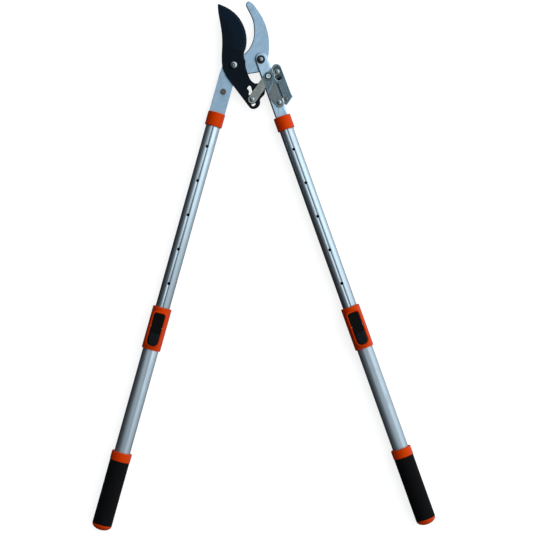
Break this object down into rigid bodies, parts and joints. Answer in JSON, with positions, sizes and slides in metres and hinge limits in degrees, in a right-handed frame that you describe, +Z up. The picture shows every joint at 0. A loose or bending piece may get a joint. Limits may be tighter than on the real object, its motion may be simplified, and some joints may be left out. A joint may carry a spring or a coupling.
{
  "type": "telescoping ratchet bypass lopper",
  "caption": "Long-handled bypass lopper with a ratchet linkage behind the jaw and telescoping tube handles with rocker locks and foam grips.",
  "frame": {"origin": "middle of the bounding box in X and Y, at its lowest level in Z, with the tool lying flat", "axes": "+X across the handles to the right as seen from above, +Y from the grips towards the blade, +Z up through the thickness of the tool"},
  "size_m": [0.6415, 0.9903, 0.0434],
  "materials": {
    "blade_coated": "dark non-stick coating, satin",
    "hook_steel": "satin blue-grey steel",
    "link_steel": "satin warm grey steel",
    "plate_steel": "brushed dark steel",
    "zinc_bolt": "bright zinc plated",
    "black_steel": "black oxide",
    "spring_steel": "bare spring wire",
    "tube_inner": "satin anodised",
    "tube_outer": "satin anodised",
    "orange_plastic": "orange moulded plastic",
    "black_plastic": "black moulded plastic",
    "core_plastic": "grey nylon",
    "foam": "closed-cell foam"
  },
  "bodies": {
    "hook_frame": {"hook_plate": "hook_steel", "stop_stud": "zinc_bolt", "pivot_bolt": "zinc_bolt", "pivot_nut": "zinc_bolt", "pivot_washer": "zinc_bolt", "arm_bolt": "zinc_bolt", "arm_washer": "black_steel", "arm_nut": "zinc_bolt", "left_collar": "orange_plastic", "left_tang_core": "core_plastic", "left_tang_pin": "zinc_bolt", "left_inner_tube": "tube_inner", "left_guide_bush": "core_plastic"},
    "blade": {"cutting_blade": "blade_coated"},
    "arm": {"arm_tang": "hook_steel", "link_pivot_bolt": "zinc_bolt", "link_pivot_nut": "zinc_bolt", "ratchet_plate_front": "plate_steel", "ratchet_plate_rear": "plate_steel", "spacer_plate_front": "plate_steel", "spacer_plate_rear": "plate_steel", "plate_bolt": "zinc_bolt", "plate_nut": "zinc_bolt", "spring_anchor": "zinc_bolt", "ratchet_spring": "spring_steel", "right_collar": "orange_plastic", "right_tang_core": "core_plastic", "right_tang_pin": "zinc_bolt", "right_inner_tube": "tube_inner", "right_guide_bush": "core_plastic"},
    "link": {"drive_link_front": "link_steel", "drive_link_rear": "link_steel", "ratchet_pin": "zinc_bolt", "spring_pin": "zinc_bolt"},
    "left_lower": {"left_outer_tube": "tube_outer", "left_lock_housing": "orange_plastic", "left_housing_screw": "zinc_bolt", "left_lever_axle": "zinc_bolt", "left_lock_spring": "spring_steel", "left_grip_ring": "orange_plastic", "left_grip": "foam", "left_end_cap": "orange_plastic"},
    "left_lever": {"left_lock_lever": "black_plastic", "left_lock_pin": "zinc_bolt"},
    "right_lower": {"right_outer_tube": "tube_outer", "right_lock_housing": "orange_plastic", "right_housing_screw": "zinc_bolt", "right_lever_axle": "zinc_bolt", "right_lock_spring": "spring_steel", "right_grip_ring": "orange_plastic", "right_grip": "foam", "right_end_cap": "orange_plastic"},
    "right_lever": {"right_lock_lever": "black_plastic", "right_lock_pin": "zinc_bolt"}
  },
  "joints": [
    {"name": "arm_swing", "type": "hinge", "parent": "hook_frame", "child": "arm", "pos_m": [-0.0057, 0.3855, 0.0192], "axis": [0, 0, -1], "range_deg": [0, 20]},
    {"name": "blade_swing", "type": "hinge", "parent": "hook_frame", "child": "blade", "pos_m": [-0.0562, 0.375, 0.0192], "axis": [0, 0, -1], "range_deg": [0, 25]},
    {"name": "link_swing", "type": "hinge", "parent": "arm", "child": "link", "pos_m": [0.0085, 0.3533, 0.0192], "axis": [0, 0, -1], "range_deg": [0, 3.8], "deforming": ["ratchet_spring"]},
    {"name": "left_telescope", "type": "slide", "parent": "hook_frame", "child": "left_lower", "axis": [0.2689, 0.9632, 0], "range_m": [0, 0.332]},
    {"name": "left_lock", "type": "hinge", "parent": "left_lower", "child": "left_lever", "pos_m": [-0.19945, -0.11395, 0.0381], "axis": [0.9632, -0.2689, 0], "range_deg": [-5.5, 3.8], "stiffness_Nm_per_rad": 0.6, "deforming": ["left_lock_spring"]},
    {"name": "right_telescope", "type": "slide", "parent": "arm", "child": "right_lower", "axis": [-0.3371, 0.9415, 0], "range_m": [0, 0.332]},
    {"name": "right_lock", "type": "hinge", "parent": "right_lower", "child": "right_lever", "pos_m": [0.17366, -0.11171, 0.0381], "axis": [0.9415, 0.3371, 0], "range_deg": [-5.5, 3.8], "stiffness_Nm_per_rad": 0.6, "deforming": ["right_lock_spring"]}
  ],
  "couplings": [
    {"joint": "blade_swing", "follows": "arm_swing", "ratio": 1.25},
    {"joint": "link_swing", "follows": "arm_swing", "ratio": 0.19}
  ]
}
